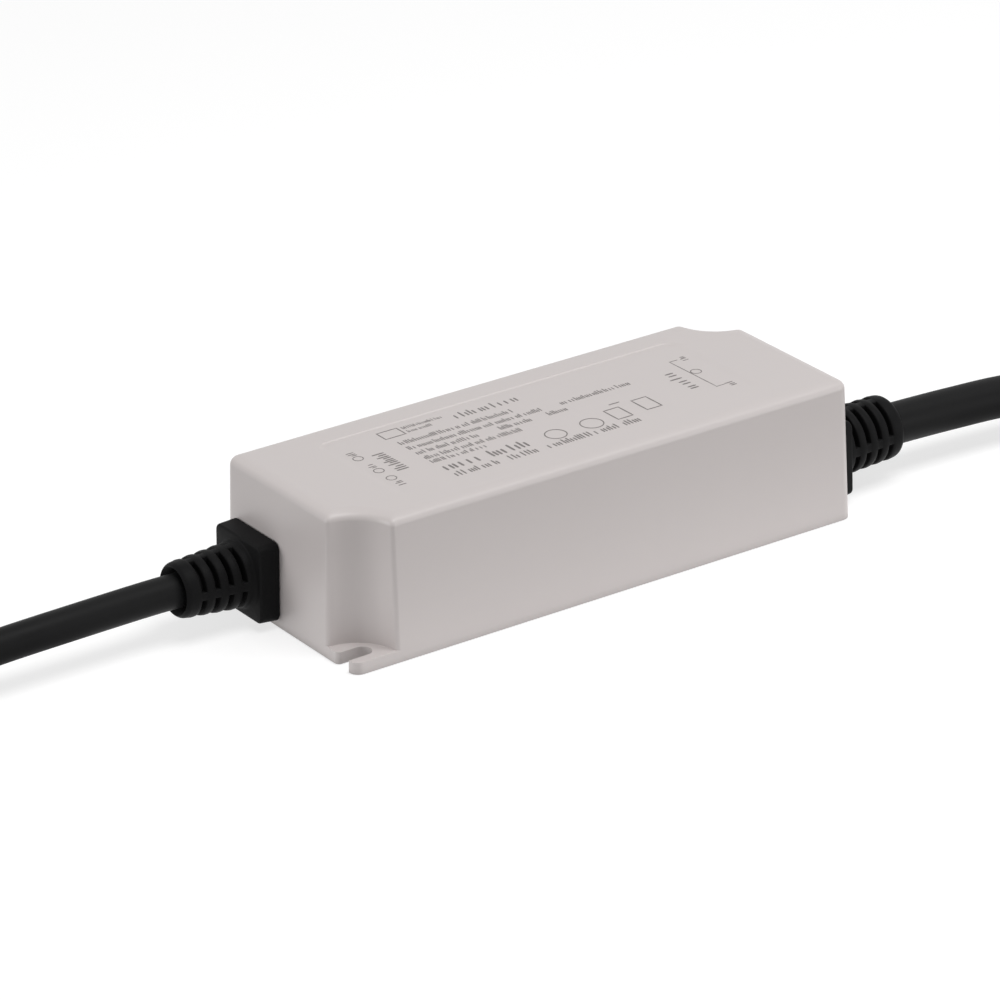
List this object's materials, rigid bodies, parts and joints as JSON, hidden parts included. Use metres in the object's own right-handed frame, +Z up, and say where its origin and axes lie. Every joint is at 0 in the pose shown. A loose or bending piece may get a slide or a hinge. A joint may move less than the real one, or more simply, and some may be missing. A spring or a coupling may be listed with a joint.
{
  "type": "led driver",
  "caption": "Potted LED driver: drafted plastic case with scalloped corners and slotted ears, a ribbed cable gland at each end, and an input and an output cable with stripped cores.",
  "frame": {"origin": "middle of the case's underside", "axes": "+X along the case towards the output cable, +Z up out of the printed face, -Y towards the long side that has the input end's scallop"},
  "size_m": [0.6761, 0.0576, 0.0374],
  "materials": {
    "case_plastic": "warm light grey moulded plastic, fine satin grain",
    "cover_plastic": "warm light grey moulded plastic",
    "compound": "dark grey cast potting compound",
    "board_laminate": "green solder mask on glass laminate",
    "gland_rubber": "black moulded soft plastic, satin",
    "jacket_black": "black extruded cable jacket, satin",
    "insulation_brown": "brown wire insulation",
    "insulation_blue": "blue wire insulation",
    "insulation_green_yellow": "green wire insulation with a yellow stripe",
    "insulation_red": "red wire insulation",
    "insulation_black": "black wire insulation",
    "tinned_copper": "tinned copper strands",
    "component_black": "black moulded component body",
    "component_blue": "blue dipped coating",
    "component_green": "green dipped coating",
    "component_yellow": "yellow moulded component body",
    "ferrite": "dark grey sintered ferrite",
    "enamelled_copper": "enamelled copper wire",
    "winding_tape": "yellow winding tape",
    "capacitor_sleeve": "dark shrink sleeve",
    "heatsink_aluminium": "plain aluminium plate"
  },
  "bodies": {
    "root": {"case_shell": "case_plastic", "base_cover": "cover_plastic", "potting_compound": "compound", "circuit_board": "board_laminate", "input_gland": "gland_rubber", "output_gland": "gland_rubber", "input_cable": "jacket_black", "output_cable": "jacket_black", "live_core": "insulation_brown", "earth_core": "insulation_green_yellow", "neutral_core": "insulation_blue", "positive_core": "insulation_red", "negative_core": "insulation_black", "live_core_tip": "tinned_copper", "earth_core_tip": "tinned_copper", "neutral_core_tip": "tinned_copper", "positive_core_tip": "tinned_copper", "negative_core_tip": "tinned_copper", "live_lead": "insulation_brown", "earth_lead": "insulation_green_yellow", "neutral_lead": "insulation_blue", "positive_lead": "insulation_red", "negative_lead": "insulation_black", "input_fuse": "component_black", "surge_varistor": "component_blue", "inrush_thermistor": "component_green", "filter_capacitor": "component_yellow", "filter_choke_core": "ferrite", "filter_choke_winding_live": "enamelled_copper", "filter_choke_winding_neutral": "enamelled_copper", "bridge_rectifier": "component_black", "boost_choke_core": "ferrite", "boost_choke_bobbin": "component_black", "boost_choke_winding": "winding_tape", "bulk_capacitor": "capacitor_sleeve", "transformer_core": "ferrite", "transformer_bobbin": "component_black", "transformer_winding": "winding_tape", "switch_heatsink": "heatsink_aluminium", "switch_transistor": "component_black", "rectifier_heatsink": "heatsink_aluminium", "output_rectifier": "component_black", "optocoupler": "component_black", "control_chip": "component_black", "output_capacitor_1": "capacitor_sleeve", "output_capacitor_2": "capacitor_sleeve", "output_choke": "ferrite", "safety_capacitor": "component_blue"}
  },
  "joints": []
}
